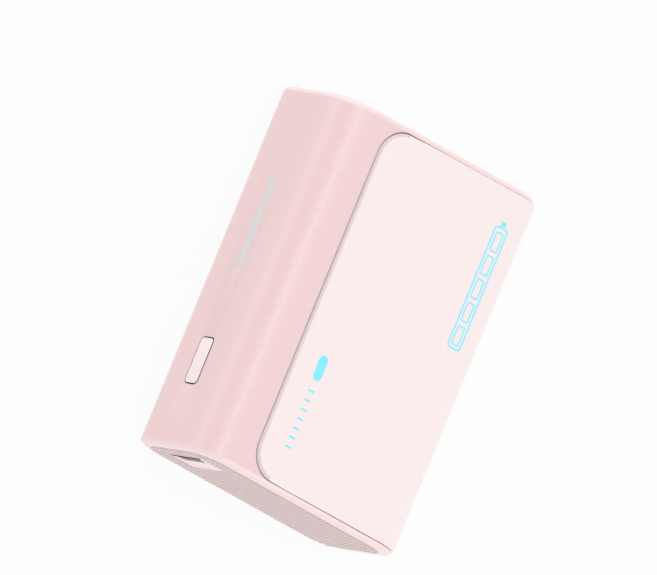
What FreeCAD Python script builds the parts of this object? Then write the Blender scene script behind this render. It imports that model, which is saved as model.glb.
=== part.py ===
import FreeCAD, Part
import math
import os

# Pocket power bank, lying on its back. Millimetres.
# +X runs across the width, away from the side that carries the button.
# +Y runs along the length, away from the end that carries the port.
# +Z is up, out of the front face. The origin is on the back face, in its middle.

V = FreeCAD.Vector
X_AXIS = V(1, 0, 0)
Y_AXIS = V(0, 1, 0)
Z_AXIS = V(0, 0, 1)

# Whole object
LENGTH = 81.0
WIDTH = 57.6
THICKNESS = 28.0
MID_Z = THICKNESS / 2
LEFT_X = -WIDTH / 2
RIGHT_X = WIDTH / 2

# Wrap-around cover: front, right side and back
COVER_THICK = 1.0
COVER_PROUD = 0.4
COVER_EDGE_X = -16.8
COVER_EDGE_R = 6.5
COVER_EDGE_BEVEL = 0.35
COVER_GAP = 0.12
TAPE_THICK = 0.1
TAPE_FROM_EDGE = 1.5
TAPE_FROM_END = 3.0

# Sleeve-shaped main shell
CORNER_R = 7.3
SOFT_CORNER_R = 8.7
RIM_HEIGHT = 1.25
BODY_HALF = LENGTH / 2 - RIM_HEIGHT
LEFT_WALL = 1.7
RECESSED_WALL = 1.4
CAVITY_INSET = COVER_THICK + TAPE_THICK + RECESSED_WALL
CAVITY_X = (LEFT_X + LEFT_WALL, RIGHT_X - CAVITY_INSET)
CAVITY_Z = (CAVITY_INSET, THICKNESS - CAVITY_INSET)
CAVITY_R = 6.6

# End caps: an elliptical rim round a seat for the ribbed pad
RIM_INSET = 2.5
RIM_LIP = 1.05
FAR_RIM_LIP = 1.4
SEAT_HEIGHT = 0.45
CAP_PLATE = 1.6
SKIRT_DEPTH = 1.6
SKIRT_WALL = 1.0
SKIRT_CLEARANCE = 0.08
CLIP_LENGTH = 8.0
CLIP_PROUD = 0.25
CLIP_WIDTH = 0.5
CLIP_FROM_END = 1.2
CLIP_X = (-8.0, 12.0)
CLIP_GROOVE_GAP = 0.05

# Ribbed grip pads
PAD_INSET = 2.6
RIB_PITCH = 1.1
RIB_HEIGHT = 0.4
RIB_CREST = 0.35
RIB_VALLEY = 0.2
PAD_WINDOW_GAP = 0.1

# Cells: two cylinders side by side, far from the button side
CELL_R = 10.65
SLEEVE_WALL = 0.1
SLEEVE_END = 0.9
CELL_HALF = 35.15
CELL_GAP = 0.4
CELL_OUTER_R = CELL_R + SLEEVE_WALL
CELL_TO_WALL = 0.45
CELL_RIGHT_X = CAVITY_X[1] - CELL_TO_WALL - CELL_OUTER_R
CELL_LEFT_X = CELL_RIGHT_X - 2 * CELL_OUTER_R - CELL_GAP
CAN_WALL = 0.25
CAN_MOUTH_R = 9.2
CAN_NECK_R = 9.6
CAN_LIP = 0.5
CAN_EDGE_R = 0.5
ROLL_GAP = 0.05
ROLL_FROM_TOP = 4.6
ROLL_CORE_R = 1.2
CRIMP_FROM_END = 3.2
CRIMP_R = 0.8
TERMINAL_R = 5.2
HEADER_THICK = 0.8
HEADER_GAP = 0.05
CAN_DROP = 0.35
WASHER_R = 10.3
WASHER_THICK = 0.2

# Nickel strips across the cell ends, and their tails to the leads
STRIP_THICK = 0.2
STRIP_WIDTH = 8.0
TAIL_WIDTH = 2.4
TAIL_X = -18.9
TAIL_OFFSET_Z = 8.3
TAIL_END_Y = 29.5
LEAD_R = 0.65
LEAD_FROM_CRADLE = 0.1
LEAD_STATIONS = (0.0, 8.0, 15.5, 23.0)

# Cradles that hold the cell ends and the circuit board
CRADLE_FACE = 36.6
CRADLE_DEPTH = 4.4
CRADLE_CLEARANCE = 0.2
POCKET_R = CELL_OUTER_R + 0.1
WINDOW_R = 8.4
ELECTRONICS_X = (-25.8, -18.2)
ELECTRONICS_HALF_Z = 5.8

# Screws: four at each end, through the cradle into the shell's bosses
SCREW_PLACES = [(CELL_RIGHT_X - CELL_OUTER_R - CELL_GAP / 2, 9.4), (-23.0, 8.8)]
SCREW_R = 0.8
SCREW_HEAD_R = 1.5
SCREW_HEAD = 1.0
SCREW_LENGTH = 8.0
SCREW_PILOT_R = 0.83
SCREW_HOLE_R = 0.95
BOSS_R = 2.1
BOSS_LENGTH = 7.5
DRIVE_R = 0.45
DRIVE_DEPTH = 0.5

# Foam: a sheet behind each end cap and strips along the cells
SHEET_FOAM_PAST_CELLS = 6.0
SHEET_FOAM_HIGH = 12.0
SHEET_FOAM_R = 2.0
FOAM_GAP = 0.05
STRIP_FOAM = (6.0, 50.0)
STRIP_FOAM_GAP = 0.02

# Circuit board on edge along the button side
BOARD_THICK = 1.0
PORT_X = LEFT_X + 7.4
PORT_HIGH = 3.26
BOARD_X = (PORT_X - PORT_HIGH / 2 - BOARD_THICK, PORT_X - PORT_HIGH / 2)
BOARD_HALF_LENGTH = 36.9
BOARD_NARROW = 6.2
BOARD_WIDE = 10.0
BOARD_WIDE_HALF_LENGTH = 22.5
BOARD_CORNER_R = 1.0

# Parts on the board: sizes are out from the board, along it and across it
INDUCTOR = (4.0, 7.0, 6.6)
INDUCTOR_Y = -20.0
INDUCTOR_CORNER_R = 0.8
CONTROLLER = (0.85, 5.0, 5.0)
CONTROLLER_Y = -8.0
PROTECTION = (0.9, 3.0, 3.0)
PROTECTION_Y = 26.5
MOSFET = (0.9, 3.3, 3.3)
MOSFET_Y = (-17.5, -11.0)
MOSFET_Z = 5.4
POLYMER = (1.9, 4.3, 7.3)
POLYMER_Y = (0.0, 6.0, 12.0)
CERAMIC = (1.2, 1.2, 2.0)
CERAMIC_PORT_Y = (-31.0, -28.5)
CERAMIC_PORT_Z = 5.2
CERAMIC_POWER_Y = (-4.0, -1.5, 1.0, 3.5)
CERAMIC_POWER_Z = 7.4
RESISTOR = (0.45, 0.8, 1.6)
RESISTOR_Y = (-14.0, -12.0, -10.0, -8.0, -6.0)
RESISTOR_Z = 4.2

# USB-C port
PORT_WIDE = 8.94
PORT_WALL = 0.25
PORT_R = 1.5
PORT_DEPTH = 7.3
PORT_LIP = 0.7
PORT_CLEARANCE = 0.06
GASKET_WIDTH = 0.9
GASKET_GAP = 0.02
SURROUND_X = (LEFT_X + 5.75, LEFT_X + 12.8)
SURROUND_HALF_Z = 5.65
SURROUND_HEIGHT = 1.15
SURROUND_R = 0.5
PORT_MOUTH_Y = -BODY_HALF - SURROUND_HEIGHT + PORT_LIP
TONGUE = (6.69, 0.7)
TONGUE_TIP = 0.6
TONGUE_BACK = 5.3
CONTACT_COUNT = 12
CONTACT_PITCH = 0.5
CONTACT = (0.25, 3.4, 0.06)
CONTACT_TIP = 1.0

# Button and the switch behind it
BUTTON_Y = (-26.56, -15.86)
BUTTON_HALF_Z = 2.3
BUTTON_R = 1.15
BUTTON_GAP = 0.3
BUTTON_PROUD = 0.1
BUTTON_FLANGE = 0.8
BUTTON_FLANGE_THICK = 0.65
BUTTON_POST_R = 1.1
BUTTON_MID_Y = (BUTTON_Y[0] + BUTTON_Y[1]) / 2
BUTTON_TRAVEL = 0.3
SWITCH = (1.6, 4.0, 3.2)
SWITCH_BORE_R = 0.85
PLUNGER_R = 0.8
PLUNGER_PROUD = 0.5
PRESS_GAP = 0.03
FLANGE_GAP = 0.05
SWITCH_BORE_SPARE = 0.7
PLUNGER_HIDDEN = 0.5
SWITCH_LEG = (0.25, 0.8, 0.6)

# Temperature sensor on the near cell
BEAD_R = 0.8
BEAD_LENGTH = 3.0
BEAD_EDGE_R = 0.4
BEAD_Y = 17.0
BEAD_TO_SLEEVE = 0.05
SENSOR_LEG_R = 0.2
SENSOR_LEG_SPREAD = 0.6
BEAD_TURN = 152

# Two light bars
BARS_Y = (0.1, 20.25)
BAR_HALF_Z = 0.21
BAR_OFFSET_Z = 0.8
BAR_CLEARANCE = 0.03
GUIDE_PLATE = 1.0
GUIDE_MARGIN = 1.2
GUIDE_HALF_Z = 2.1
SHROUD_WALL = 0.6
SHROUD_HALF_Z = 2.6
SHROUD_SPINE = 0.25
SHROUD_TO_GUIDE = 0.1
LED = (0.55, 1.6, 0.8)
LED_COUNT = 4


def box(x, y, z):
    """A block from three (low, high) spans."""
    return Part.makeBox(x[1] - x[0], y[1] - y[0], z[1] - z[0], V(x[0], y[0], z[0]))


def span(middle, size):
    """The (low, high) span of a size about a middle."""
    return (middle - size / 2, middle + size / 2)


def grown(ends, by):
    """A span made longer by the same amount at both ends."""
    return (ends[0] - by, ends[1] + by)


def rounded(x, y, z, radius, along):
    """A block whose four edges along one axis are rounded."""
    block = box(x, y, z)
    edges = [e for e in block.Edges if abs(e.tangentAt(e.FirstParameter).dot(along)) > 0.9]
    return block.makeFillet(radius, edges)


def rod(radius, length, base, along):
    """A cylinder from its base point, along an axis."""
    return Part.makeCylinder(radius, length, base, along)


def fused(shapes):
    """One solid from touching or overlapping shapes."""
    first, rest = shapes[0], shapes[1:]
    return first.fuse(rest).removeSplitter()


def group(shapes):
    """Several separate solids in one node."""
    return Part.makeCompound(shapes)


def far_end(shape):
    """The same piece turned round, for the end away from the port."""
    return shape.mirror(V(0, 0, 0), Y_AXIS)


def outline(inset, y):
    """The body's section, drawn in by an inset: the front corner by the button is softer."""
    x = (LEFT_X + inset, RIGHT_X - COVER_PROUD - inset)
    z = (COVER_PROUD + inset, THICKNESS - COVER_PROUD - inset)
    block = box(x, y, z)
    for radius, wants_soft in ((CORNER_R, False), (SOFT_CORNER_R, True)):
        edges = []
        for edge in block.Edges:
            middle = edge.CenterOfMass
            at_corner = min(abs(middle.x - x[0]), abs(middle.x - x[1])) < 1e-6
            at_corner = at_corner and min(abs(middle.z - z[0]), abs(middle.z - z[1])) < 1e-6
            is_soft = middle.x < 0 and middle.z > MID_Z
            if at_corner and is_soft == wants_soft:
                edges.append(edge)
        block = block.makeFillet(radius - inset, edges)
    return block


def cover_outline(inset, y):
    """The cover's outer section, concentric with the body's at the right corners."""
    x = (LEFT_X + inset, RIGHT_X - inset)
    z = (inset, THICKNESS - inset)
    return rounded(x, y, z, CORNER_R + COVER_PROUD - inset, Y_AXIS)


def cavity(clearance, y):
    """The space inside the sleeve, less a clearance."""
    x = grown(CAVITY_X, -clearance)
    z = grown(CAVITY_Z, -clearance)
    return rounded(x, y, z, CAVITY_R - clearance, Y_AXIS)


def cover_plan(gap):
    """The cover's outline seen from the front: rounded only along its free edge."""
    edge_x = COVER_EDGE_X + gap
    x = (edge_x, RIGHT_X + 2 * COVER_EDGE_R)
    y = grown((-BODY_HALF, BODY_HALF), -gap)
    return rounded(x, y, (-1, THICKNESS + 1), COVER_EDGE_R, Z_AXIS)


def wrap(inset, thick, gap):
    """A C-shaped wall that lies in the cover's recess."""
    full = (-BODY_HALF - 1, BODY_HALF + 1)
    wall = cover_outline(inset, full).cut(cover_outline(inset + thick, full))
    return wall.common(cover_plan(gap))


def button_window(extra):
    """The rounded opening for the button, through the left wall."""
    y = grown(BUTTON_Y, extra)
    z = span(MID_Z, 2 * (BUTTON_HALF_Z + extra))
    return rounded((LEFT_X - 1, CAVITY_X[0] + 1), y, z, BUTTON_R + extra, X_AXIS)


def bar_blocks(extra, x):
    """The two parallel light bars, or the slots for them."""
    blocks = []
    for side in (-1, 1):
        z = span(MID_Z + side * BAR_OFFSET_Z, 2 * (BAR_HALF_Z + extra))
        blocks.append(box(x, grown(BARS_Y, extra), z))
    return blocks


def clip_blocks(extra):
    """Snap beads on the end cap's skirt, or the grooves for them, at the port end."""
    middle_y = -BODY_HALF + CLIP_FROM_END
    y = span(middle_y, CLIP_WIDTH + 2 * extra)
    blocks = []
    for middle_x in CLIP_X:
        x = span(middle_x, CLIP_LENGTH + 2 * extra)
        for wall_z, out in ((CAVITY_Z[0], -1), (CAVITY_Z[1], 1)):
            reach = sorted((wall_z - out * SKIRT_WALL / 2, wall_z + out * (CLIP_PROUD + extra)))
            blocks.append(box(x, y, reach))
    return blocks


def screw_points():
    """Where the four screws of one end stand, as (x, z)."""
    return [(x, MID_Z + side * offset) for x, offset in SCREW_PLACES for side in (-1, 1)]


def bosses():
    """The four screw bosses of the port end, each run into the nearest wall."""
    start_y = -CRADLE_FACE + CRADLE_DEPTH + CRADLE_CLEARANCE
    solids = []
    for x, z in screw_points():
        post = rod(BOSS_R, BOSS_LENGTH, V(x, start_y, z), Y_AXIS)
        wall_z = CAVITY_Z[1] + 0.5 if z > MID_Z else CAVITY_Z[0] - 0.5
        web = box(span(x, BOSS_R), (start_y, start_y + BOSS_LENGTH), sorted((z, wall_z)))
        pilot = rod(SCREW_PILOT_R, BOSS_LENGTH, V(x, start_y, z), Y_AXIS)
        solids.append(post.fuse(web).cut(pilot))
    return solids


def main_shell():
    """The moulded sleeve, stepped down where the cover lies."""
    body = outline(0, (-BODY_HALF, BODY_HALF))
    step = COVER_THICK + TAPE_THICK
    full = (-BODY_HALF - 1, BODY_HALF + 1)
    low = cover_outline(step, full)
    body = body.cut(cover_plan(0).cut(low))
    body = body.cut(cavity(0, full))
    ends = bosses()
    inner = cavity(-0.5, (-BODY_HALF, BODY_HALF))
    body = body.fuse([boss.common(inner) for boss in ends])
    body = body.fuse([far_end(boss.common(inner)) for boss in ends])
    grooves = clip_blocks(CLIP_GROOVE_GAP)
    body = body.cut([button_window(0)] + grooves + [far_end(groove) for groove in grooves])
    slots = bar_blocks(BAR_CLEARANCE, (LEFT_X - 1, CAVITY_X[0] + 1))
    return body.cut(slots).removeSplitter()


def wrap_cover():
    """The pale cover, whose outer edge is rounded all the way round."""
    cover = wrap(0, COVER_THICK, COVER_GAP)
    edges = []
    for edge in cover.Edges:
        box_of = edge.BoundBox
        flat = box_of.ZLength < 0.01 and (box_of.ZMin < 0.01 or box_of.ZMax > THICKNESS - 0.01)
        if flat and box_of.XMax < COVER_EDGE_X + COVER_EDGE_R + 1 and box_of.XMax < 0:
            edges.append(edge)
    return cover.makeFillet(COVER_EDGE_BEVEL, edges)


def cover_tape():
    """Double-sided tape between the cover and the shell: front, back and side strips."""
    skin = wrap(COVER_THICK, TAPE_THICK, TAPE_FROM_EDGE)
    flat_x = (COVER_EDGE_X, RIGHT_X - CORNER_R - 1)
    y = grown((-BODY_HALF, BODY_HALF), -TAPE_FROM_END)
    front = skin.common(box(flat_x, y, (MID_Z, THICKNESS)))
    back = skin.common(box(flat_x, y, (0, MID_Z)))
    side = skin.common(box((RIGHT_X - 3, RIGHT_X), y, span(MID_Z, THICKNESS - 2 * CORNER_R - 2)))
    return group([front.Solids[0], back.Solids[0], side.Solids[0]])


def rim_ring(lip_height):
    """The rounded rim: an elliptical quarter swept round the body's outline."""
    spine = outline(0, (-BODY_HALF - 1, -BODY_HALF)).Faces
    loop = [f for f in spine if f.normalAt(0, 0).dot(Y_AXIS) > 0.9][0].OuterWire
    start = loop.OrderedVertexes[0].Point
    tangent = loop.OrderedEdges[0].tangentAt(loop.OrderedEdges[0].FirstParameter)
    inward = tangent.cross(Y_AXIS).normalize()
    if inward.dot(V(0, 0, MID_Z) - V(start.x, 0, start.z)) < 0:
        inward = inward * -1
    out = Y_AXIS * -1
    heel = start + inward * RIM_INSET
    lip = heel + out * lip_height
    ellipse = Part.Ellipse(start, lip, heel)
    curve = Part.Arc(ellipse, 0, math.pi / 2).toShape()
    profile = Part.Wire([curve, Part.makeLine(lip, heel), Part.makeLine(heel, start)])
    ring = Part.Wire(loop.OrderedEdges).makePipeShell([profile], True, False)
    return ring


def cap_blank(lip_height):
    """An end cap with no port: rim, seat plate, skirt and snap beads."""
    level = -BODY_HALF
    seat = outline(RIM_INSET, (level - SEAT_HEIGHT, level))
    plate = cavity(SKIRT_CLEARANCE, (level, level + CAP_PLATE - SEAT_HEIGHT))
    skirt = cavity(SKIRT_CLEARANCE, (level, level + SKIRT_DEPTH))
    skirt = skirt.cut(cavity(SKIRT_CLEARANCE + SKIRT_WALL, (level - 1, level + SKIRT_DEPTH + 1)))
    return fused([rim_ring(lip_height), seat, plate, skirt] + clip_blocks(0))


def port_slot(extra, y):
    """A stadium along the port, wider than the port's metal shell by an extra."""
    x = span(PORT_X, PORT_HIGH + 2 * extra)
    z = span(MID_Z, PORT_WIDE + 2 * extra)
    return rounded(x, y, z, PORT_R + extra, Y_AXIS)


def port_end_cap():
    """The end cap with a raised surround and the opening for the port."""
    top = -BODY_HALF - SURROUND_HEIGHT
    z = span(MID_Z, 2 * SURROUND_HALF_Z)
    surround = rounded(SURROUND_X, (top, -BODY_HALF), z, SURROUND_R, Y_AXIS)
    cap = fused([cap_blank(RIM_LIP), surround])
    cap = cap.cut(port_slot(PORT_CLEARANCE, (PORT_MOUTH_Y, -BODY_HALF + SKIRT_DEPTH)))
    return cap.cut(port_slot(-PORT_WALL / 2, (top - 1, PORT_MOUTH_Y + 1)))


def far_end_cap():
    """The plain end cap, whose rim stands higher than its pad."""
    return far_end(cap_blank(FAR_RIM_LIP))


def grip_pad():
    """The ribbed pad: ribs run from front to back across the end."""
    seat_y = -BODY_HALF - SEAT_HEIGHT
    tip_y = -LENGTH / 2
    valley_y = tip_y + RIB_HEIGHT
    middle_x = -COVER_PROUD / 2
    count = int((WIDTH - COVER_PROUD - 2 * PAD_INSET) / RIB_PITCH)
    first_x = middle_x - count * RIB_PITCH / 2
    last_x = middle_x + count * RIB_PITCH / 2
    slope = (RIB_PITCH - RIB_CREST - RIB_VALLEY) / 2
    points = [V(first_x - 1, seat_y, 0), V(first_x - 1, valley_y, 0)]
    for index in range(count):
        x = first_x + index * RIB_PITCH + RIB_VALLEY / 2
        points.append(V(x, valley_y, 0))
        points.append(V(x + slope, tip_y, 0))
        points.append(V(x + slope + RIB_CREST, tip_y, 0))
        points.append(V(x + 2 * slope + RIB_CREST, valley_y, 0))
    points.append(V(last_x + 1, valley_y, 0))
    points.append(V(last_x + 1, seat_y, 0))
    comb = Part.Face(Part.makePolygon(points + points[:1])).extrude(V(0, 0, THICKNESS))
    return comb.common(outline(PAD_INSET, (-LENGTH, 0)))


def port_grip_pad():
    """The ribbed pad of the port end, cut away round the port's surround."""
    z = span(MID_Z, 2 * SURROUND_HALF_Z)
    x = grown(SURROUND_X, PAD_WINDOW_GAP)
    window = rounded(x, (-LENGTH, 0), grown(z, PAD_WINDOW_GAP), SURROUND_R, Y_AXIS)
    return grip_pad().cut(window)


def far_grip_pad():
    """The ribbed pad of the plain end."""
    return far_end(grip_pad())


def button_cap():
    """The push button: a crowned cap, a flange behind the wall and a post."""
    window_y = grown(BUTTON_Y, -BUTTON_GAP)
    window_z = span(MID_Z, 2 * (BUTTON_HALF_Z - BUTTON_GAP))
    flange_start = CAVITY_X[0] + FLANGE_GAP
    flange_x = (flange_start, flange_start + BUTTON_FLANGE_THICK)
    cap = rounded((LEFT_X - BUTTON_PROUD, flange_x[1]), window_y, window_z, BUTTON_R - BUTTON_GAP, X_AXIS)
    front = [e for e in cap.Edges if e.BoundBox.XMax < LEFT_X]
    cap = cap.makeFillet(BUTTON_PROUD, front)
    flange_z = span(MID_Z, 2 * (BUTTON_HALF_Z + BUTTON_FLANGE))
    flange = box(flange_x, grown(BUTTON_Y, BUTTON_FLANGE), flange_z)
    post_end = BOARD_X[0] - SWITCH[0] - PLUNGER_PROUD - PRESS_GAP
    post = rod(BUTTON_POST_R, post_end - flange_x[0], V(flange_x[0], BUTTON_MID_Y, MID_Z), X_AXIS)
    return fused([cap, flange, post])


def tact_switch():
    """The switch body on the board, with a bore for its plunger."""
    top_x = BOARD_X[0] - SWITCH[0]
    body = box((top_x, BOARD_X[0]), span(BUTTON_MID_Y, SWITCH[1]), span(MID_Z, SWITCH[2]))
    depth = BUTTON_TRAVEL + SWITCH_BORE_SPARE
    bore = rod(SWITCH_BORE_R, depth, V(top_x, BUTTON_MID_Y, MID_Z), X_AXIS)
    legs = []
    for side in (-1, 1):
        for end in (-1, 1):
            y = span(BUTTON_MID_Y + end * (SWITCH[1] + SWITCH_LEG[1]) / 2, SWITCH_LEG[1])
            z = span(MID_Z + side * SWITCH[2] / 3, SWITCH_LEG[2])
            legs.append(box((BOARD_X[0] - SWITCH_LEG[0], BOARD_X[0]), y, z))
    return fused([body.cut(bore)] + legs)


def switch_plunger():
    """The switch's own plunger, pressed by the button's post."""
    top_x = BOARD_X[0] - SWITCH[0]
    start = top_x - PLUNGER_PROUD
    length = PLUNGER_PROUD + PLUNGER_HIDDEN
    return rod(PLUNGER_R, length, V(start, BUTTON_MID_Y, MID_Z), X_AXIS)


def light_guide():
    """One clear moulding: a plate glued inside the wall and two bars through it."""
    plate_x = (CAVITY_X[0], CAVITY_X[0] + GUIDE_PLATE)
    plate = box(plate_x, grown(BARS_Y, GUIDE_MARGIN), span(MID_Z, 2 * GUIDE_HALF_Z))
    return fused([plate] + bar_blocks(0, (LEFT_X, plate_x[1])))


def light_shroud():
    """The dark frame round the lamps, with a spine between the two rows."""
    x = (CAVITY_X[0] + GUIDE_PLATE + SHROUD_TO_GUIDE, BOARD_X[0])
    y = grown(BARS_Y, GUIDE_MARGIN)
    frame = box(x, y, span(MID_Z, 2 * SHROUD_HALF_Z))
    for side in (-1, 1):
        near = MID_Z + side * SHROUD_SPINE
        far = MID_Z + side * (SHROUD_HALF_Z - SHROUD_WALL)
        frame = frame.cut(box(grown(x, 1), grown(y, -SHROUD_WALL), sorted((near, far))))
    return frame


def status_lamps():
    """Two rows of small lamps on the board, one row behind each bar."""
    step = (BARS_Y[1] - BARS_Y[0]) / LED_COUNT
    lamps = []
    for side in (-1, 1):
        z = span(MID_Z + side * (SHROUD_SPINE + SHROUD_HALF_Z - SHROUD_WALL) / 2, LED[2])
        for index in range(LED_COUNT):
            y = span(BARS_Y[0] + (index + 0.5) * step, LED[1])
            lamps.append(box((BOARD_X[0] - LED[0], BOARD_X[0]), y, z))
    return group(lamps)


def cell_can(middle_x):
    """The steel can: a drawn cup, rolled in under its mouth to hold the header."""
    top_y = -CELL_HALF + CAN_DROP
    can = rod(CELL_R, CELL_HALF - top_y, V(middle_x, top_y, MID_Z), Y_AXIS)
    rims = [e for e in can.Edges if e.BoundBox.YLength < 0.01]
    can = can.makeFillet(CAN_EDGE_R, rims)
    groove_y = top_y + CRIMP_FROM_END
    groove = Part.makeTorus(CELL_R + 0.2, CRIMP_R, V(middle_x, groove_y, MID_Z), Y_AXIS)
    neck_y = top_y + CAN_LIP
    body_y = top_y + ROLL_FROM_TOP - 0.2
    mouth = rod(CAN_MOUTH_R, CAN_LIP + 1, V(middle_x, top_y - 1, MID_Z), Y_AXIS)
    neck = rod(CAN_NECK_R, body_y - neck_y, V(middle_x, neck_y, MID_Z), Y_AXIS)
    inside = rod(CELL_R - CAN_WALL, CELL_HALF - CAN_WALL - body_y, V(middle_x, body_y, MID_Z), Y_AXIS)
    return can.cut([groove, mouth, neck, inside])


def cell_roll(middle_x):
    """The wound electrode roll inside the can, with its hollow core."""
    start_y = -CELL_HALF + CAN_DROP + ROLL_FROM_TOP
    length = CELL_HALF - CAN_WALL - 2 * ROLL_GAP - start_y
    roll = rod(CELL_R - CAN_WALL - ROLL_GAP, length, V(middle_x, start_y, MID_Z), Y_AXIS)
    return roll.cut(rod(ROLL_CORE_R, length, V(middle_x, start_y, MID_Z), Y_AXIS))


def cell_sleeve(middle_x):
    """The shrink sleeve round the can, between its two ends."""
    length = 2 * CELL_HALF - 2 * SLEEVE_END
    outer = rod(CELL_OUTER_R, length, V(middle_x, -length / 2, MID_Z), Y_AXIS)
    return outer.cut(rod(CELL_R, length, V(middle_x, -length / 2, MID_Z), Y_AXIS))


def cell_header(middle_x):
    """The header that closes the can: a disc and the positive terminal on it."""
    disc_y = -CELL_HALF + CAN_DROP
    disc = rod(CAN_MOUTH_R - HEADER_GAP, HEADER_THICK, V(middle_x, disc_y, MID_Z), Y_AXIS)
    terminal = rod(TERMINAL_R, CAN_DROP + HEADER_THICK, V(middle_x, -CELL_HALF, MID_Z), Y_AXIS)
    return fused([disc, terminal])


def cell_washer(middle_x):
    """The insulating ring round the terminal, over the can's rim."""
    base = V(middle_x, -CELL_HALF + CAN_DROP - WASHER_THICK, MID_Z)
    ring = rod(WASHER_R, WASHER_THICK, base, Y_AXIS)
    return ring.cut(rod(TERMINAL_R, WASHER_THICK, base, Y_AXIS))


def strip_blank(tail_side):
    """A nickel strip at the port end: a band over both cells and a bent tail."""
    y = (-CELL_HALF - STRIP_THICK, -CELL_HALF)
    band = box((CELL_LEFT_X - TERMINAL_R, CELL_RIGHT_X + TERMINAL_R), y, span(MID_Z, STRIP_WIDTH))
    riser_x = (CELL_LEFT_X - TERMINAL_R, CELL_LEFT_X - TERMINAL_R + TAIL_WIDTH)
    tail_z = MID_Z + tail_side * TAIL_OFFSET_Z
    riser = box(riser_x, y, grown(sorted((MID_Z, tail_z)), TAIL_WIDTH / 2))
    arm = box((TAIL_X, riser_x[1]), y, span(tail_z, TAIL_WIDTH))
    foot = box((TAIL_X, TAIL_X + STRIP_THICK), (y[0], -TAIL_END_Y), span(tail_z, TAIL_WIDTH))
    return fused([band, riser, arm, foot])


def positive_strip():
    """The strip over the positive terminals, at the port end."""
    return strip_blank(1)


def negative_strip():
    """The strip over the can bottoms, at the plain end."""
    return far_end(strip_blank(-1))


def cradle_blank(tail_side):
    """A cell cradle at the port end."""
    y = (-CRADLE_FACE, -CRADLE_FACE + CRADLE_DEPTH)
    body = cavity(CRADLE_CLEARANCE, y)
    cuts = []
    for middle_x in (CELL_LEFT_X, CELL_RIGHT_X):
        pocket_y = -CELL_HALF - STRIP_THICK - 0.05
        cuts.append(rod(POCKET_R, CRADLE_DEPTH, V(middle_x, pocket_y, MID_Z), Y_AXIS))
        cuts.append(rod(WINDOW_R, CRADLE_DEPTH, V(middle_x, -CRADLE_FACE - 1, MID_Z), Y_AXIS))
    electronics_z = span(MID_Z, 2 * ELECTRONICS_HALF_Z)
    cuts.append(rounded(ELECTRONICS_X, grown(y, 1), electronics_z, 1.0, Y_AXIS))
    slot_x = grown(BOARD_X, 0.1)
    cuts.append(box(slot_x, grown(y, 1), span(MID_Z, 2 * BOARD_NARROW + 0.2)))
    tail_z = span(MID_Z + tail_side * TAIL_OFFSET_Z, TAIL_WIDTH + 0.4)
    notch_y = (-CELL_HALF - STRIP_THICK - 0.1, -CRADLE_FACE + CRADLE_DEPTH + 1)
    cuts.append(box((TAIL_X - 0.2, TAIL_X + 0.9), notch_y, tail_z))
    band_y = (-CELL_HALF - STRIP_THICK - 0.1, -CELL_HALF + 0.1)
    cuts.append(box((CELL_LEFT_X, CELL_RIGHT_X), band_y, span(MID_Z, STRIP_WIDTH + 0.4)))
    cuts.append(box((TAIL_X - 0.2, CELL_LEFT_X), band_y, tail_z))
    for x, z in screw_points():
        cuts.append(rod(SCREW_HOLE_R, CRADLE_DEPTH + 2, V(x, -CRADLE_FACE - 1, z), Y_AXIS))
    solids = body.cut(cuts).Solids
    return max(solids, key=lambda solid: solid.Volume)


def port_cradle():
    """The cradle at the port end."""
    return cradle_blank(1)


def far_cradle():
    """The cradle at the plain end."""
    return far_end(cradle_blank(-1))


def cradle_screws():
    """Four pan-head screws of one end."""
    screws = []
    for x, z in screw_points():
        shank = rod(SCREW_R, SCREW_LENGTH, V(x, -CRADLE_FACE, z), Y_AXIS)
        tip = Part.makeCone(SCREW_R, 0.2, 0.8, V(x, -CRADLE_FACE + SCREW_LENGTH, z), Y_AXIS)
        head = rod(SCREW_HEAD_R, SCREW_HEAD, V(x, -CRADLE_FACE - SCREW_HEAD, z), Y_AXIS)
        rim = [e for e in head.Edges if e.BoundBox.YMax < -CRADLE_FACE - SCREW_HEAD + 0.01]
        head = head.makeFillet(0.4, rim)
        screw = fused([shank, tip, head])
        for turn in (X_AXIS, Z_AXIS):
            side = Z_AXIS if turn == X_AXIS else X_AXIS
            size = turn * (2 * DRIVE_R * 2) + side * (DRIVE_R * 0.8)
            corner = V(x, -CRADLE_FACE - SCREW_HEAD, z) - size / 2
            screw = screw.cut(Part.makeBox(size.x, DRIVE_DEPTH, size.z, corner))
        screws.append(screw)
    return group(screws)


def end_foam():
    """The foam sheet between a cradle and the end cap."""
    y = (-BODY_HALF + CAP_PLATE - SEAT_HEIGHT + FOAM_GAP, -CRADLE_FACE)
    x = grown((CELL_LEFT_X, CELL_RIGHT_X), SHEET_FOAM_PAST_CELLS)
    return rounded(x, y, span(MID_Z, SHEET_FOAM_HIGH), SHEET_FOAM_R, Y_AXIS)


def cell_pads():
    """Four foam strips that keep the cells off the front and back walls."""
    pads = []
    for middle_x in (CELL_LEFT_X, CELL_RIGHT_X):
        for wall_z, inward in ((CAVITY_Z[0], 1), (CAVITY_Z[1], -1)):
            cell_z = MID_Z - inward * (CELL_OUTER_R + STRIP_FOAM_GAP)
            z = sorted((wall_z, cell_z))
            pads.append(box(span(middle_x, STRIP_FOAM[0]), span(0, STRIP_FOAM[1]), z))
    return group(pads)


def main_board():
    """The circuit board: narrow ends that sit in the cradles, wider between the bosses."""
    narrow = box(BOARD_X, span(0, 2 * BOARD_HALF_LENGTH), span(MID_Z, 2 * BOARD_NARROW))
    wide_y = span(0, 2 * BOARD_WIDE_HALF_LENGTH)
    wide = rounded(BOARD_X, wide_y, span(MID_Z, 2 * BOARD_WIDE), BOARD_CORNER_R, X_AXIS)
    return fused([narrow, wide])


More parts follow.
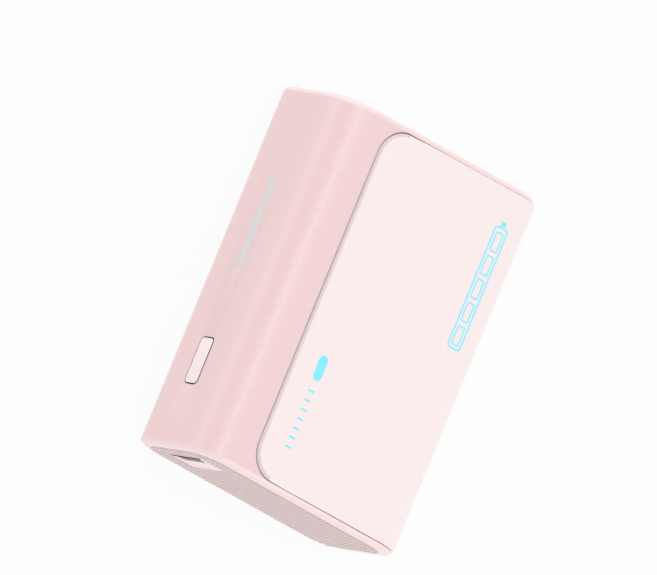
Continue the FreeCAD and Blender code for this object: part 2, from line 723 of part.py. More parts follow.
def port_shell():
    """The port's drawn metal shell, open at its mouth."""
    y = (PORT_MOUTH_Y, PORT_MOUTH_Y + PORT_DEPTH)
    return port_slot(0, y).cut(port_slot(-PORT_WALL, grown(y, 1)))


def port_tongue():
    """The port's insulator: a rear block and the thin tongue."""
    back_y = (PORT_MOUTH_Y + TONGUE_BACK, PORT_MOUTH_Y + PORT_DEPTH)
    block = port_slot(-PORT_WALL, back_y)
    tongue_y = (PORT_MOUTH_Y + TONGUE_TIP, back_y[0] + BOARD_THICK / 2)
    tongue = box(span(PORT_X, TONGUE[1]), tongue_y, span(MID_Z, TONGUE[0]))
    return fused([block, tongue])


def port_contacts():
    """Two rows of contact strips on the tongue's two faces."""
    strips = []
    first_z = MID_Z - (CONTACT_COUNT - 1) * CONTACT_PITCH / 2
    first_y = PORT_MOUTH_Y + CONTACT_TIP
    y = (first_y, first_y + CONTACT[1])
    for side in (-1, 1):
        face = PORT_X + side * TONGUE[1] / 2
        x = sorted((face, face + side * CONTACT[2]))
        for index in range(CONTACT_COUNT):
            strips.append(box(x, y, span(first_z + index * CONTACT_PITCH, CONTACT[0])))
    return group(strips)


def port_gasket():
    """The soft ring that seals the port between the cap and the board's end."""
    y = (-BODY_HALF + CAP_PLATE - SEAT_HEIGHT + FOAM_GAP, -BOARD_HALF_LENGTH - FOAM_GAP)
    return port_slot(GASKET_WIDTH, y).cut(port_slot(GASKET_GAP, grown(y, 1)))


def power_inductor():
    """The moulded power inductor, on the cell side of the board."""
    x = (BOARD_X[1], BOARD_X[1] + INDUCTOR[0])
    y = span(INDUCTOR_Y, INDUCTOR[1])
    block = rounded(x, y, span(MID_Z, INDUCTOR[2]), INDUCTOR_CORNER_R, X_AXIS)
    top = [e for e in block.Edges if e.BoundBox.XMin > x[1] - 0.01]
    return block.makeFillet(INDUCTOR_CORNER_R / 2, top)


def chip(size, middle_y, offset_z, outward=1):
    """A flat chip on one face of the board: outward is 1 on the cell side."""
    face = BOARD_X[1] if outward > 0 else BOARD_X[0]
    x = sorted((face, face + outward * size[0]))
    return box(x, span(middle_y, size[1]), span(MID_Z + offset_z, size[2]))


def chip_pairs(size, places_y, offset_z, outward=1):
    """Two rows of chips, one each side of the board's middle."""
    return [chip(size, y, side * offset_z, outward) for y in places_y for side in (-1, 1)]


def charge_controller():
    """The charge and power-delivery controller chip."""
    return chip(CONTROLLER, CONTROLLER_Y, 0)


def protection_chip():
    """The cell protection chip."""
    return chip(PROTECTION, PROTECTION_Y, 0)


def power_mosfets():
    """Four power transistors in a square beside the inductor."""
    return group(chip_pairs(MOSFET, MOSFET_Y, MOSFET_Z))


def polymer_capacitors():
    """Three low polymer capacitors."""
    return group([chip(POLYMER, y, 0) for y in POLYMER_Y])


def ceramic_capacitors():
    """Rows of small ceramic capacitors near the port and the inductor."""
    near_port = chip_pairs(CERAMIC, CERAMIC_PORT_Y, CERAMIC_PORT_Z)
    return group(near_port + chip_pairs(CERAMIC, CERAMIC_POWER_Y, CERAMIC_POWER_Z))


def chip_resistors():
    """Small resistors on the button side of the board."""
    return group(chip_pairs(RESISTOR, RESISTOR_Y, RESISTOR_Z, outward=-1))


def thermistor():
    """A bead on the near cell's sleeve, with two legs to the board."""
    turn = math.radians(BEAD_TURN)
    reach = CELL_OUTER_R + BEAD_R + BEAD_TO_SLEEVE
    x = CELL_LEFT_X + reach * math.cos(turn)
    z = MID_Z + reach * math.sin(turn)
    bead = rod(BEAD_R, BEAD_LENGTH, V(x, BEAD_Y - BEAD_LENGTH / 2, z), Y_AXIS)
    bead = bead.makeFillet(BEAD_EDGE_R, [e for e in bead.Edges if e.BoundBox.YLength < 0.01])
    legs = []
    for side in (-1, 1):
        base = V(BOARD_X[1], BEAD_Y + side * SENSOR_LEG_SPREAD, z)
        legs.append(rod(SENSOR_LEG_R, x - BOARD_X[1], base, X_AXIS))
    return fused([bead] + legs)


def tangent_tube(points, radius):
    """A tube along straight runs joined by tangent arcs."""
    edges = []
    start = points[0]
    for before, corner, after in zip(points, points[1:], points[2:]):
        run_in = corner - before
        run_out = after - corner
        turn = run_in.getAngle(run_out)
        trim = 0.45 * min(run_in.Length, run_out.Length)
        bend_r = trim / math.tan(turn / 2)
        enter = corner - V(run_in).normalize() * trim
        leave = corner + V(run_out).normalize() * trim
        to_middle = (V(run_out).normalize() - V(run_in).normalize()).normalize()
        centre = corner + to_middle * (bend_r / math.cos(turn / 2))
        middle = centre - to_middle * bend_r
        edges.append(Part.makeLine(start, enter))
        edges.append(Part.Arc(enter, middle, leave).toShape())
        start = leave
    edges.append(Part.makeLine(start, points[-1]))
    path = Part.Wire(edges)
    ring = Part.Wire(Part.makeCircle(radius, points[0], points[1] - points[0]))
    return path.makePipeShell([ring], True, True)


def lead_blank(side):
    """A lead from a strip's tail at the port end, to the board's face."""
    z = MID_Z + side * TAIL_OFFSET_Z
    tail_x = TAIL_X - LEAD_R
    board_x = BOARD_X[1] + LEAD_R
    start_y = -CRADLE_FACE + CRADLE_DEPTH + LEAD_FROM_CRADLE
    x_and_y = zip((tail_x, tail_x, board_x, board_x), LEAD_STATIONS)
    route = [V(x, start_y + along, z) for x, along in x_and_y]
    return tangent_tube(route, LEAD_R)


def positive_lead():
    """The insulated wire from the positive strip to the board."""
    return lead_blank(1)


def negative_lead():
    """The insulated wire from the negative strip to the board."""
    return far_end(lead_blank(-1))


NODES = {
    "main_shell": main_shell,
    "wrap_cover": wrap_cover,
    "cover_tape": cover_tape,
    "port_end_cap": port_end_cap,
    "far_end_cap": far_end_cap,
    "port_grip_pad": port_grip_pad,
    "far_grip_pad": far_grip_pad,
    "button_cap": button_cap,
    "tact_switch": tact_switch,
    "switch_plunger": switch_plunger,
    "light_guide": light_guide,
    "light_shroud": light_shroud,
    "status_lamps": status_lamps,
    "near_cell_can": lambda: cell_can(CELL_LEFT_X),
    "near_cell_sleeve": lambda: cell_sleeve(CELL_LEFT_X),
    "near_cell_roll": lambda: cell_roll(CELL_LEFT_X),
    "near_cell_header": lambda: cell_header(CELL_LEFT_X),
    "near_cell_washer": lambda: cell_washer(CELL_LEFT_X),
    "outer_cell_can": lambda: cell_can(CELL_RIGHT_X),
    "outer_cell_sleeve": lambda: cell_sleeve(CELL_RIGHT_X),
    "outer_cell_roll": lambda: cell_roll(CELL_RIGHT_X),
    "outer_cell_header": lambda: cell_header(CELL_RIGHT_X),
    "outer_cell_washer": lambda: cell_washer(CELL_RIGHT_X),
    "positive_strip": positive_strip,
    "negative_strip": negative_strip,
    "port_cradle": port_cradle,
    "far_cradle": far_cradle,
    "port_cradle_screws": cradle_screws,
    "far_cradle_screws": lambda: far_end(cradle_screws()),
    "port_foam": end_foam,
    "far_foam": lambda: far_end(end_foam()),
    "cell_pads": cell_pads,
    "main_board": main_board,
    "port_shell": port_shell,
    "port_tongue": port_tongue,
    "port_contacts": port_contacts,
    "port_gasket": port_gasket,
    "power_inductor": power_inductor,
    "charge_controller": charge_controller,
    "protection_chip": protection_chip,
    "power_mosfets": power_mosfets,
    "polymer_capacitors": polymer_capacitors,
    "ceramic_capacitors": ceramic_capacitors,
    "chip_resistors": chip_resistors,
    "thermistor": thermistor,
    "positive_lead": positive_lead,
    "negative_lead": negative_lead,
}

os.makedirs("parts", exist_ok=True)
for name, make in NODES.items():
    shape = make()
    shape.exportStep("parts/%s.step" % name)
    facts = (name, len(shape.Solids), shape.Volume, shape.isValid())
    print("%-20s %2d solids  %9.2f mm3  valid %s" % facts)
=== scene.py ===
import math

import bmesh
import bpy
from mathutils import Matrix, Vector


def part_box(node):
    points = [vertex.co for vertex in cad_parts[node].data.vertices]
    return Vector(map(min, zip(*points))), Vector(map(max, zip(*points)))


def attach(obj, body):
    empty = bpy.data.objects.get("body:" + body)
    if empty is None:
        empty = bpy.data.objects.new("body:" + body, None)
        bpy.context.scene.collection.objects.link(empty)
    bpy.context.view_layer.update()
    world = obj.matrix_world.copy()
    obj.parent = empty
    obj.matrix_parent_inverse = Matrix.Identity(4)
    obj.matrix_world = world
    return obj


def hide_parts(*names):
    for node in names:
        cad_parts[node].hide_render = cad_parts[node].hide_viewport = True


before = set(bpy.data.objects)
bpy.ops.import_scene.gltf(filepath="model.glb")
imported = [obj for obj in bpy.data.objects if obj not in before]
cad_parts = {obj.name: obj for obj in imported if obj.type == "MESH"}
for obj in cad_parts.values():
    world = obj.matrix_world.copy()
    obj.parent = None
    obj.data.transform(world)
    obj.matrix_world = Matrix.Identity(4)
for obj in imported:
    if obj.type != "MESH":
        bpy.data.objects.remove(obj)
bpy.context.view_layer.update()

# Studio: a white sweep on the table, an even white room, and six soft boxes.
# Two hang overhead; the other four stand round the object, one at each side and one at each end.
mm = 0.001

camera_data = bpy.data.cameras.new("studio_camera")
camera_data.type = "ORTHO"
camera_data.ortho_scale = 135.58 * mm
camera_data.clip_end = 5.0
camera = bpy.data.objects.new("studio_camera", camera_data)
camera.rotation_euler = [math.radians(turn) for turn in (-6.606, -35.992, 27.538)]
aim = Vector((-4.24, 5.81, 12.21)) * mm
camera.location = aim + camera.rotation_euler.to_matrix() @ Vector((0, 0, 0.6))
bpy.context.scene.collection.objects.link(camera)
bpy.context.scene.camera = camera
bpy.context.scene.view_settings.view_transform = "Standard"

room = bpy.data.worlds.new("white_room")
room.use_nodes = True
room.node_tree.nodes["Background"].inputs["Color"].default_value = (1.0, 0.995, 0.99, 1)
room.node_tree.nodes["Background"].inputs["Strength"].default_value = 0.645
bpy.context.scene.world = room


def soft_box(name, toward, distance, size, power):
    """A rectangular soft box that faces the middle of the object from one direction."""
    lamp = bpy.data.lights.new(name, "AREA")
    lamp.shape = "RECTANGLE"
    lamp.size, lamp.size_y = size
    lamp.energy = power
    holder = bpy.data.objects.new(name, lamp)
    direction = Vector(toward).normalized()
    holder.location = Vector((0, 0, 14 * mm)) + direction * distance
    holder.rotation_euler = direction.to_track_quat("Z", "Y").to_euler()
    bpy.context.scene.collection.objects.link(holder)


soft_box("overhead_box", (-0.32, 0.17, 0.93), 1.2, (0.9, 0.36), 3.7)
soft_box("side_box", (-0.97, 0.17, 0.09), 1.2, (0.9, 0.26), 1.8)
soft_box("top_box", (0.35, 0.1, 0.93), 1.2, (1.1, 0.8), 1.5)
soft_box("right_box", (0.92, 0.1, 0.38), 1.2, (1.1, 0.7), 0.9)
soft_box("port_box", (0.4, -0.86, 0.34), 1.2, (0.7, 0.6), 4.3)
soft_box("far_box", (-0.2, 0.97, 0.1), 1.2, (0.8, 0.3), 3.6)

sweep_bm = bmesh.new()
bmesh.ops.create_grid(sweep_bm, x_segments=8, y_segments=8, size=3.0)
sweep_mesh = bpy.data.meshes.new("table_sweep")
sweep_bm.to_mesh(sweep_mesh)
sweep = bpy.data.objects.new("table_sweep", sweep_mesh)
bpy.context.scene.collection.objects.link(sweep)
paper = bpy.data.materials.new("white_paper")
paper.use_nodes = True
glow = paper.node_tree.nodes["Principled BSDF"]
glow.inputs["Base Color"].default_value = (0.05, 0.05, 0.05, 1)
glow.inputs["Roughness"].default_value = 1.0
glow.inputs["Specular IOR Level"].default_value = 0.0
glow.inputs["Emission Color"].default_value = (1, 1, 1, 1)
glow.inputs["Emission Strength"].default_value = 0.932
sweep_mesh.materials.append(paper)


# Two lithium-ion cells, side by side: a nickel-plated can round a wound foil roll,
# a header and a paper washer. A shrink sleeve covers each can, and spot-welded
# nickel strips join the cells' ends.
def finish(name, colour, rough, metal=0.0, grain=0.5, depth=0.01, shade=0.06, spread=0.08):
    """A material with a fine grain: grain and depth in mm, shade and spread as shares of colour and gloss."""
    made = bpy.data.materials.new(name)
    made.use_nodes = True
    nodes, links = made.node_tree.nodes, made.node_tree.links
    skin = nodes["Principled BSDF"]
    skin.inputs["Metallic"].default_value = metal
    place = nodes.new("ShaderNodeTexCoord")
    cloud = nodes.new("ShaderNodeTexNoise")
    cloud.inputs["Scale"].default_value = 1 / (9 * grain * mm)
    cloud.inputs["Detail"].default_value = 3.0
    links.new(place.outputs["Object"], cloud.inputs["Vector"])
    tone = nodes.new("ShaderNodeMix")
    tone.data_type = "RGBA"
    tone.inputs["A"].default_value = [channel * (1 - shade) for channel in colour] + [1]
    tone.inputs["B"].default_value = [min(1, channel * (1 + shade)) for channel in colour] + [1]
    links.new(cloud.outputs["Fac"], tone.inputs["Factor"])
    links.new(tone.outputs["Result"], skin.inputs["Base Color"])
    gloss = nodes.new("ShaderNodeMapRange")
    gloss.inputs["To Min"].default_value = rough - spread
    gloss.inputs["To Max"].default_value = rough + spread
    links.new(cloud.outputs["Fac"], gloss.inputs["Value"])
    links.new(gloss.outputs["Result"], skin.inputs["Roughness"])
    pits = nodes.new("ShaderNodeTexNoise")
    pits.inputs["Scale"].default_value = 1 / (grain * mm)
    pits.inputs["Detail"].default_value = 2.0
    links.new(place.outputs["Object"], pits.inputs["Vector"])
    relief = nodes.new("ShaderNodeBump")
    relief.inputs["Distance"].default_value = depth * mm
    links.new(pits.outputs["Fac"], relief.inputs["Height"])
    links.new(relief.outputs["Normal"], skin.inputs["Normal"])
    return made


def paint(material, *nodes):
    """Gives CAD nodes one material."""
    for node in nodes:
        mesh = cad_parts[node].data
        mesh.materials.clear()
        mesh.materials.append(material)


paint(finish("nickel_plated_steel", (0.62, 0.61, 0.59), 0.32, 1.0, 0.4, 0.004),
      "near_cell_can", "near_cell_header", "outer_cell_can", "outer_cell_header")
paint(finish("shrink_sleeve", (0.03, 0.17, 0.12), 0.35, 0.0, 0.6, 0.004), "near_cell_sleeve", "outer_cell_sleeve")
paint(finish("wound_foil", (0.30, 0.22, 0.17), 0.45, 0.8, 0.3, 0.01), "near_cell_roll", "outer_cell_roll")
paint(finish("fish_paper", (0.72, 0.70, 0.62), 0.85, 0.0, 0.25, 0.02), "near_cell_washer", "outer_cell_washer")
paint(finish("nickel_strip", (0.66, 0.63, 0.58), 0.28, 1.0, 0.5, 0.004), "positive_strip", "negative_strip")

# Cell cradles: two glass-filled mouldings that hold the cells' ends and the board, each with four steel screws.
# Foam sheets and strips keep everything from rattling.
paint(finish("cradle_moulding", (0.62, 0.62, 0.60), 0.5, 0.0, 0.3, 0.01), "port_cradle", "far_cradle")
paint(finish("zinc_screw", (0.55, 0.56, 0.58), 0.3, 1.0, 0.2, 0.003), "port_cradle_screws", "far_cradle_screws")
paint(finish("grey_foam", (0.10, 0.10, 0.105), 0.95, 0.0, 0.35, 0.12), "port_foam", "far_foam", "cell_pads")

# Circuit board on edge along the button side, with its power inductor, chips, capacitors and sensor.
# Two silicone-insulated leads bring the cells' current to it.
paint(finish("solder_mask", (0.015, 0.10, 0.05), 0.35, 0.0, 0.5, 0.008), "main_board")
paint(finish("pressed_iron_powder", (0.09, 0.09, 0.095), 0.6, 0.2, 0.15, 0.02), "power_inductor")
paint(finish("moulded_epoxy", (0.02, 0.02, 0.022), 0.45, 0.0, 0.15, 0.006),
      "charge_controller", "protection_chip", "power_mosfets", "chip_resistors")
paint(finish("polymer_capacitor_case", (0.05, 0.045, 0.04), 0.4, 0.0, 0.3, 0.006), "polymer_capacitors")
paint(finish("fired_ceramic", (0.36, 0.24, 0.14), 0.55, 0.0, 0.12, 0.006), "ceramic_capacitors")
paint(finish("sensor_resin", (0.30, 0.09, 0.03), 0.3, 0.0, 0.3, 0.006), "thermistor")
paint(finish("red_silicone", (0.45, 0.02, 0.015), 0.5, 0.0, 0.25, 0.006), "positive_lead")
paint(finish("black_silicone", (0.02, 0.02, 0.02), 0.5, 0.0, 0.25, 0.006), "negative_lead")


# Main shell: one moulded sleeve in satin pink, stepped down where the cover lies.
# It has a window for the button and two slots for the light bars.
def block(x, y, z, radius=0.0, along=1, steps=16):
    """A block from its spans in mm, with the four edges along one axis rounded."""
    made = bmesh.new()
    low, high = Vector((x[0], y[0], z[0])), Vector((x[1], y[1], z[1]))
    place = Matrix.Translation((low + high) / 2) @ Matrix.Diagonal((*(high - low), 1))
    bmesh.ops.create_cube(made, size=1, matrix=place)
    if radius:
        edges = [e for e in made.edges if abs(e.verts[0].co[along] - e.verts[1].co[along]) > 1e-6]
        bmesh.ops.bevel(made, geom=edges, offset=radius, offset_type="OFFSET", affect="EDGES",
                        segments=steps, profile=0.5, material=-1)
    return made


def joined(parts):
    """Several closed forms in one bmesh."""
    whole = bmesh.new()
    for part in parts:
        mesh = bpy.data.meshes.new("part")
        part.to_mesh(mesh)
        part.free()
        whole.from_mesh(mesh)
        bpy.data.meshes.remove(mesh)
    return whole


def carved(body, tool, operation="DIFFERENCE"):
    """One form cut by, kept inside or joined to another."""
    blanks = []
    for part in (body, tool):
        bmesh.ops.recalc_face_normals(part, faces=part.faces)
        mesh = bpy.data.meshes.new("blank")
        part.to_mesh(mesh)
        part.free()
        blank = bpy.data.objects.new("blank", mesh)
        bpy.context.scene.collection.objects.link(blank)
        blanks.append(blank)
    cut = blanks[0].modifiers.new("cut", "BOOLEAN")
    cut.solver = "EXACT"
    cut.operation = operation
    cut.object = blanks[1]
    result = bmesh.new()
    result.from_object(blanks[0], bpy.context.evaluated_depsgraph_get())
    for blank in blanks:
        bpy.data.objects.remove(blank)
    return result


def round_off(form, chosen, offset, steps=3):
    """Rounds the sharp edges that a test picks out, by an offset in mm."""
    edges = [e for e in form.edges if len(e.link_faces) == 2
             and e.calc_face_angle(0) > math.radians(40) and chosen(e)]
    bmesh.ops.bevel(form, geom=edges, offset=offset, offset_type="OFFSET", affect="EDGES",
                    segments=steps, profile=0.5, material=-1, clamp_overlap=True)


def piece(name, form, material, body, stands_for, second=None, where=None):
    """Turns a form in mm into a finished piece, with a second material on the faces that a test picks out."""
    bmesh.ops.remove_doubles(form, verts=form.verts, dist=1e-4)
    bmesh.ops.dissolve_degenerate(form, dist=1e-5, edges=form.edges)
    bmesh.ops.recalc_face_normals(form, faces=form.faces)
    for face in form.faces:
        face.smooth = True
        face.material_index = int(bool(where and where(face.calc_center_median(), face.normal)))
    bmesh.ops.scale(form, vec=(mm, mm, mm), verts=form.verts)
    mesh = bpy.data.meshes.new(name)
    form.to_mesh(mesh)
    form.free()
    mesh.materials.append(material)
    if second:
        mesh.materials.append(second)
    mesh.set_sharp_from_angle(angle=math.radians(32))
    made = bpy.data.objects.new(name, mesh)
    bpy.context.scene.collection.objects.link(made)
    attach(made, body)
    if stands_for:
        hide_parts(*stands_for)


def span(node, axis):
    """A CAD node's lowest and highest coordinate along one axis, in mm."""
    return tuple(round(corner[axis] / mm, 2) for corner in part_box(node))


shell_x, shell_z = span("port_end_cap", 0), span("port_end_cap", 2)
shell_half = span("main_shell", 1)[1]
past_ends = (-shell_half - 1, shell_half + 1)
bars_y, bar_z, bar_half = (0.1, 20.25), (13.2, 14.8), 0.21
flange = 0.8
flange_y, flange_z = span("button_cap", 1), span("button_cap", 2)
button_y = (round(flange_y[0] + flange, 2), round(flange_y[1] - flange, 2))
button_z = (round(flange_z[0] + flange, 2), round(flange_z[1] - flange, 2))
button_r = 1.15


def body_section(inset, y):
    """The body's section drawn in by an inset in mm: the front corner by the button is softer."""
    x = (shell_x[0] + inset, shell_x[1] - inset)
    z = (shell_z[0] + inset, shell_z[1] - inset)
    made = block(x, y, z)
    for radius, wants_soft in ((7.3, False), (8.7, True)):
        edges = []
        for e in made.edges:
            middle = (e.verts[0].co + e.verts[1].co) / 2
            at_corner = min(abs(middle.x - side) for side in x) < 1e-4
            at_corner = at_corner and min(abs(middle.z - side) for side in z) < 1e-4
            if at_corner and (middle.x < 0 and middle.z > 14) == wants_soft:
                edges.append(e)
        bmesh.ops.bevel(made, geom=edges, offset=radius - inset, offset_type="OFFSET", affect="EDGES",
                        segments=28, profile=0.5, material=-1)
    return made


sleeve = body_section(0, (-shell_half, shell_half))
recess = block((-16.8, 42), (-shell_half - 0.01, shell_half + 0.01), (-1, 29), 6.5, along=2, steps=20)
recess = carved(recess, block((-27.7, 27.7), (-45, 45), (1.1, 26.9), 6.6, steps=28))
sleeve = carved(sleeve, recess)
sleeve = carved(sleeve, block((-27.1, 26.3), past_ends, (2.5, 25.5), 6.6, steps=20))
openings = [block((-30, -26), button_y, button_z, button_r, along=0, steps=8)]
openings += [block((-30, -26), (bars_y[0] - 0.03, bars_y[1] + 0.03), (z - bar_half - 0.03, z + bar_half + 0.03))
             for z in bar_z]
sleeve = carved(sleeve, joined(openings))
round_off(sleeve, lambda e: all(v.co.x < -28.79 and abs(v.co.y) < 30 for v in e.verts), 0.05, 2)
satin_pink = finish("satin_pink_plastic", (0.805, 0.592, 0.588), 0.32, 0.0, 0.22, 0.004, 0.012, 0.03)
# A darker pink painted as shade on the walls of the recess and the openings, so the gaps read as dark lines.
gap_shade_pink = finish("gap_painted_shade", (0.53, 0.41, 0.41), 0.7, 0.0, 0.3, 0.006)


def gap_shade_faces(middle, facing):
    """The walls of the recess and of the openings, which get a darker pink as painted shade in the gaps."""
    in_recess = middle.x > -16.9 and 0.45 < middle.z < 27.55
    in_opening = abs(facing.x) < 0.3 and -28.7 < middle.x < -27 and 11 < middle.z < 17 and abs(middle.y) < 30
    return in_recess or in_opening


piece("shell_sleeve", sleeve, satin_pink, "case", ["main_shell"], gap_shade_pink, gap_shade_faces)

# Light bars: two clear bars that come through the wall from one moulding, flush with the side.
# A dark shroud behind keeps the light of four lamps in each row to its own bar.
frosted = finish("lit_acrylic", (0.43, 0.60, 0.61), 0.3, 0.0, 0.3, 0.003, 0.02, 0.04)
frosted_skin = frosted.node_tree.nodes["Principled BSDF"]
frosted_skin.inputs["Emission Color"].default_value = (0.36, 0.66, 0.67, 1)
frosted_skin.inputs["Emission Strength"].default_value = 0.25
paint(frosted, "light_guide")
dark_moulding = finish("dark_moulding", (0.035, 0.035, 0.037), 0.5, 0.0, 0.2, 0.006)
paint(dark_moulding, "light_shroud", "port_tongue", "tact_switch", "switch_plunger")
paint(finish("lamp_resin", (0.80, 0.82, 0.70), 0.25, 0.0, 0.2, 0.003), "status_lamps")

# Button: a cap in the cover's pale pink with a soft edge, standing just proud of the side.
# A flange behind the wall keeps it in, and a post presses the switch.
pale_pink = finish("pale_pink_plastic", (0.885, 0.772, 0.770), 0.42, 0.0, 0.25, 0.004, 0.01, 0.03)
cap_gap = 0.3
button = block((span("button_cap", 0)[0], -26.7), (button_y[0] + cap_gap, button_y[1] - cap_gap),
               (button_z[0] + cap_gap, button_z[1] - cap_gap), button_r - cap_gap, along=0, steps=8)
round_off(button, lambda e: all(v.co.x < -28.89 for v in e.verts), 0.1, 4)
button = carved(button, block((-27.05, -26.4), flange_y, flange_z), "UNION")
# The button's side faces get a dark pink as painted shade, so the gap round the cap reads dark.
shaded_pink = finish("button_gap_painted_shade", (0.30, 0.21, 0.21), 0.7, 0.0, 0.3, 0.006)
piece("button_face", button, pale_pink, "button", ["button_cap"],
      shaded_pink, lambda middle, facing: middle.x > -28.78)


# End caps: a rounded rim swept round the body's outline, with a sunk seat for the ribbed pad.
# The port's cap also carries a raised surround with the opening for the plug.
def end_cap(rim_up):
    """A cap at the port end, without its surround, whose rim stands up by a height in mm."""
    start = 0.1
    cap = body_section(0, (-shell_half - start, -shell_half))
    face = min(cap.faces, key=lambda f: f.calc_center_median().y)
    rim_in, rings = 2.5, 14
    first = math.asin(start / rim_up)
    for ring in range(rings):
        low = first + (math.pi / 2 - first) * ring / rings
        high = first + (math.pi / 2 - first) * (ring + 1) / rings
        bmesh.ops.inset_region(cap, faces=[face], thickness=rim_in * (math.cos(low) - math.cos(high)),
                               depth=rim_up * (math.sin(high) - math.sin(low)), use_even_offset=True)
    crease, crease_deep, seat_up = 0.06, 0.03, 0.45
    bmesh.ops.inset_region(cap, faces=[face], thickness=crease, depth=-crease_deep, use_even_offset=True)
    bmesh.ops.inset_region(cap, faces=[face], thickness=0.02, depth=seat_up + crease_deep - rim_up,
                           use_even_offset=True)
    inner = max(cap.faces, key=lambda f: f.calc_center_median().y)
    wall, hollow_deep = 2.25, 1.6
    bmesh.ops.inset_region(cap, faces=[inner], thickness=wall, depth=0.0, use_even_offset=True)
    bmesh.ops.inset_region(cap, faces=[inner], thickness=0.01, depth=hollow_deep, use_even_offset=True)
    return cap


def turned(form):
    """The same form for the plain end."""
    bmesh.ops.scale(form, vec=(1, -1, 1), verts=form.verts)
    return form


port_x, port_z = -21.4, 14.0
surround_x, surround_z = (-23.05, -16.0), (8.35, 19.65)
surround_top = -40.4
slot_form = block((port_x - 1.69, port_x + 1.69), (-41, -36), (port_z - 4.53, port_z + 4.53), 1.56, steps=10)
cap = carved(end_cap(1.05), slot_form)
rim_pink = finish("rim_pink_plastic", (0.85, 0.665, 0.665), 0.36, 0.0, 0.22, 0.004, 0.012, 0.03)
piece("port_cap", cap, rim_pink, "case", ["port_end_cap"])
surround = block(surround_x, (surround_top, -39.7), surround_z, 0.5, steps=5)
lip_form = block((port_x - 1.505, port_x + 1.505), (-42, -39), (port_z - 4.345, port_z + 4.345), 1.375, steps=10)
surround = carved(surround, lip_form)
round_off(surround, lambda e: all(v.co.y < surround_top + 0.001 for v in e.verts), 0.2, 3)
# The surround's bevelled edges get a near-white pink as a painted highlight.
surround_edge_highlight = finish("surround_edge_painted_highlight", (0.97, 0.90, 0.90), 0.25, 0.0, 0.22, 0.003, 0.01, 0.03)
piece("port_surround", surround, rim_pink, "case", [],
      surround_edge_highlight, lambda middle, facing: 0.1 < abs(facing.y) < 0.97)
piece("plain_cap", turned(end_cap(1.4)), rim_pink, "case", ["far_end_cap"])


# Ribbed grip pads: soft greyish pink mouldings glued into the caps, with ribs from front to back.
# The port's pad has a window for the surround.
def ribbed_pad():
    """A pad at the port end, whole."""
    ribs, pitch, crest, valley = 47, 1.1, 0.35, 0.2
    slope = (pitch - crest - valley) / 2
    stations = (valley / 2, valley / 2 + slope, valley / 2 + slope + crest, pitch - valley / 2)
    heights = (-40.1, -40.5, -40.5, -40.1)
    comb = bmesh.new()
    bmesh.ops.create_grid(comb, x_segments=4 * ribs, y_segments=1, size=0.5)
    for v in comb.verts:
        rib, corner = divmod(round((v.co.x + 0.5) * 4 * ribs), 4)
        x = -0.2 + (rib - ribs / 2) * pitch + stations[corner]
        v.co = (x, heights[corner], 14 + 30 * v.co.y)
    base = bmesh.ops.extrude_face_region(comb, geom=comb.faces[:])
    for v in base["geom"]:
        if isinstance(v, bmesh.types.BMVert):
            v.co.y = -39.7
    return carved(comb, body_section(2.6, (-50, -30)), "INTERSECT")


window = block((surround_x[0] - 0.1, surround_x[1] + 0.1), (-50, -30),
               (surround_z[0] - 0.1, surround_z[1] + 0.1), 0.5, steps=5)
soft_grip = finish("soft_grip", (0.68, 0.555, 0.553), 0.7, 0.0, 0.18, 0.01, 0.03, 0.05)
# The rib crests get a paler pink as a painted highlight, and the flanks keep the darker pad colour.
crest_painted_highlight = finish("crest_painted_highlight", (0.79, 0.675, 0.67), 0.6, 0.0, 0.18, 0.01, 0.03, 0.05)


def on_crest(middle, facing):
    """The flat tops of the ribs, which get a paler pink as a painted highlight against the flanks."""
    return abs(facing.y) > 0.97 and abs(middle.y) > 40.4


piece("port_pad", carved(ribbed_pad(), window), soft_grip, "case", ["port_grip_pad"],
      crest_painted_highlight, on_crest)
piece("plain_pad", turned(ribbed_pad()), soft_grip, "case", ["far_grip_pad"],
      crest_painted_highlight, on_crest)

# USB-C port: a drawn steel shell, a dark tongue and two rows of gold-plated contacts.
# A silicone gasket seals it against the cap.
paint(finish("drawn_steel", (0.36, 0.345, 0.345), 0.4, 1.0, 0.2, 0.003), "port_shell")
paint(finish("gold_plate", (0.75, 0.52, 0.20), 0.25, 1.0, 0.2, 0.002), "port_contacts")
paint(finish("clear_silicone", (0.60, 0.60, 0.58), 0.5, 0.0, 0.3, 0.004), "port_gasket")

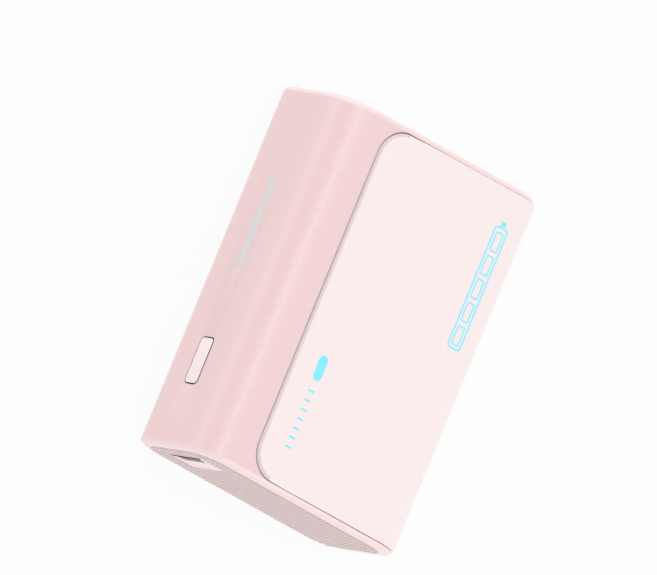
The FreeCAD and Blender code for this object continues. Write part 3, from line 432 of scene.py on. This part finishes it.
# Cover: a pale sheet moulding that wraps the front, the far side and the back.
# It is taped into the shell's recess, and its free edge is rounded.
cover_r = 7.7
cover_far, cover_z = span("wrap_cover", 0)[1], span("wrap_cover", 2)
cover = block((-cover_far, cover_far), past_ends, cover_z, cover_r, steps=28)
cover = carved(cover, block((-27.8, 27.8), (-45, 45), (1, 27), cover_r - 1, steps=28))
cover_half = shell_half - 0.14
cover_plan = block((-16.66, 42), (-cover_half, cover_half), (-1, 29), 6.5, along=2, steps=20)
cover = carved(cover, cover_plan, "INTERSECT")
round_off(cover, lambda e: all(v.co.x < -9.5 and v.co.z > 27.999 for v in e.verts), 0.9, 8)
round_off(cover, lambda e: all(v.co.x < -9.5 and v.co.z < 0.001 for v in e.verts), 0.35, 4)
# The cover's rounded free edge gets a greyer pink as painted shade.
cover_edge_shade = finish("cover_edge_painted_shade", (0.70, 0.605, 0.605), 0.5, 0.0, 0.25, 0.004, 0.01, 0.03)
piece("wrap_panel", cover, pale_pink, "case", ["wrap_cover"],
      cover_edge_shade, lambda middle, facing: abs(facing.z) < 0.992 and middle.x < -9)
paint(finish("clear_tape", (0.75, 0.75, 0.72), 0.4, 0.0, 0.4, 0.003), "cover_tape")


# Printed marks on the cover: a plain battery gauge by the far side, and a row of ticks
# with a pill by the button side. They are pad-printed in pale blue ink, a hair above the surface.
def mark(x, y, radius=0.0, hollow=0.0):
    """A flat inked patch, or an inked line round its outline."""
    ink_z = (27.99, 28.01)
    patch = block(x, y, ink_z, radius, along=2, steps=8)
    if hollow:
        inside = block((x[0] + hollow, x[1] - hollow), (y[0] + hollow, y[1] - hollow),
                       (27, 29), max(radius - hollow, 0.05), along=2, steps=8)
        patch = carved(patch, inside)
    return patch


gauge = [mark((17.7, 21.4), (3.85, 31.4), 0.9, 0.4), mark((18.9, 20.2), (31.5, 32.55), 0.3)]
gauge += [mark((18.5, 20.6), (4.65 + 5.3 * cell, 9.05 + 5.3 * cell), 0.4, 0.35) for cell in range(5)]
gauge += [mark((-10.7, -8.4), (-16.0, -10.4), 1.1)]
gauge += [mark((-10.4, -8.7), (-31.2 + 2.1 * tick, -30.75 + 2.1 * tick), 0.15) for tick in range(7)]
ink = finish("pale_blue_ink", (0.22, 0.79, 1.0), 0.4, 0.0, 0.2, 0.002, 0.02, 0.03)
piece("printed_marks", joined(gauge), ink, "case", [])
